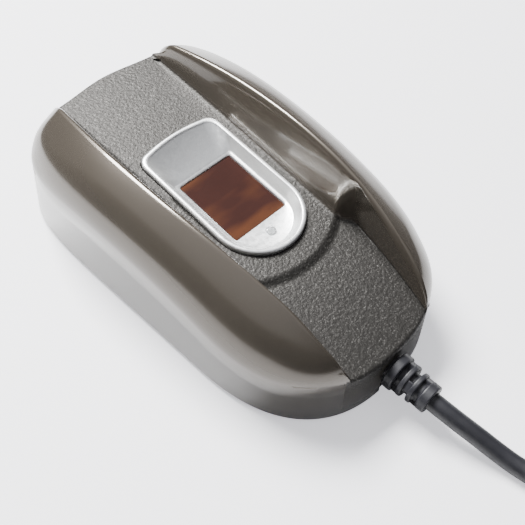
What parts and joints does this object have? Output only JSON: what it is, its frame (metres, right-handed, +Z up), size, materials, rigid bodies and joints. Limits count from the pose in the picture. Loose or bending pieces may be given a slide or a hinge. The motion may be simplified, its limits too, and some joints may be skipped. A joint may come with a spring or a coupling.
{
  "type": "fingerprint scanner terminal",
  "caption": "Desktop optical fingerprint reader: ridged rounded shell with a sunken finger window in a satin bezel, prism and camera inside, moulded strain relief and coiled USB lead",
  "frame": {"origin": "centre of the body's footprint, on the surface it stands on", "axes": "+Z up, +Y along the body to the cable end, +X to the right when seen from the user end"},
  "size_m": [0.1059, 0.2005, 0.0368],
  "materials": {
    "shell_paint": "pearl gunmetal taupe paint on ABS, textured in the channel",
    "base_plastic": "moulded black ABS",
    "foot_rubber": "soft black",
    "screw_steel": "zinc plated",
    "bezel_satin": "satin silver",
    "clear_plastic": "clear acrylic light pipe",
    "gasket_rubber": "black",
    "prism_glass": "dark red coated prism",
    "holder_plastic": "black, light absorbing",
    "diffuser_plastic": "opal white sheet",
    "board_green": "solder masked glass epoxy",
    "led_red": "red LED lens",
    "mirror_coat": "front surface mirror",
    "lens_glass": "coated optical glass",
    "filter_glass": "infrared cut filter",
    "chip_black": "moulded epoxy package",
    "connector_ivory": "nylon",
    "ribbon_white": "polyester flat cable",
    "can_metal": "drawn can",
    "ceramic_tan": "ceramic chip capacitor",
    "wire_jacket": "coloured PVC insulation",
    "steel_plate": "plain steel weight",
    "lead_pvc": "black PVC, satin",
    "tie_nylon": "black nylon strap",
    "plug_steel": "nickel plated",
    "tongue_white": "white nylon",
    "contact_gold": "gold plated"
  },
  "bodies": {
    "root": {"upper_shell": "shell_paint", "base_plate": "base_plastic", "rubber_feet": "foot_rubber", "case_screws": "screw_steel", "bezel": "bezel_satin", "indicator_lens": "clear_plastic", "platen_gasket": "gasket_rubber", "platen_prism": "prism_glass", "prism_holder": "holder_plastic", "diffuser": "diffuser_plastic", "illumination_board": "board_green", "illumination_leds": "led_red", "fold_mirror": "mirror_coat", "lens_holder": "holder_plastic", "lens_barrel": "holder_plastic", "front_lens": "lens_glass", "rear_lens": "lens_glass", "ir_filter": "filter_glass", "image_sensor": "chip_black", "sensor_board": "board_green", "sensor_screws": "screw_steel", "sensor_connector": "connector_ivory", "flat_cable": "ribbon_white", "board_connector": "connector_ivory", "main_board": "board_green", "controller_chip": "chip_black", "memory_chip": "chip_black", "crystal": "can_metal", "voltage_regulator": "chip_black", "capacitors": "ceramic_tan", "resistors": "chip_black", "indicator_led": "clear_plastic", "led_wires": "wire_jacket", "cable_header": "connector_ivory", "cable_housing": "connector_ivory", "core_wires": "wire_jacket", "cable_clamp": "base_plastic", "clamp_screws": "screw_steel", "board_screws": "screw_steel", "holder_screws": "screw_steel", "ballast_plate": "steel_plate", "ballast_screws": "screw_steel", "strain_relief": "lead_pvc", "usb_lead": "lead_pvc", "lead_coil": "lead_pvc", "lead_tail": "lead_pvc", "coil_tie": "tie_nylon", "plug_body": "lead_pvc", "plug_shell": "plug_steel", "plug_tongue": "tongue_white", "plug_contacts": "contact_gold"}
  },
  "joints": []
}
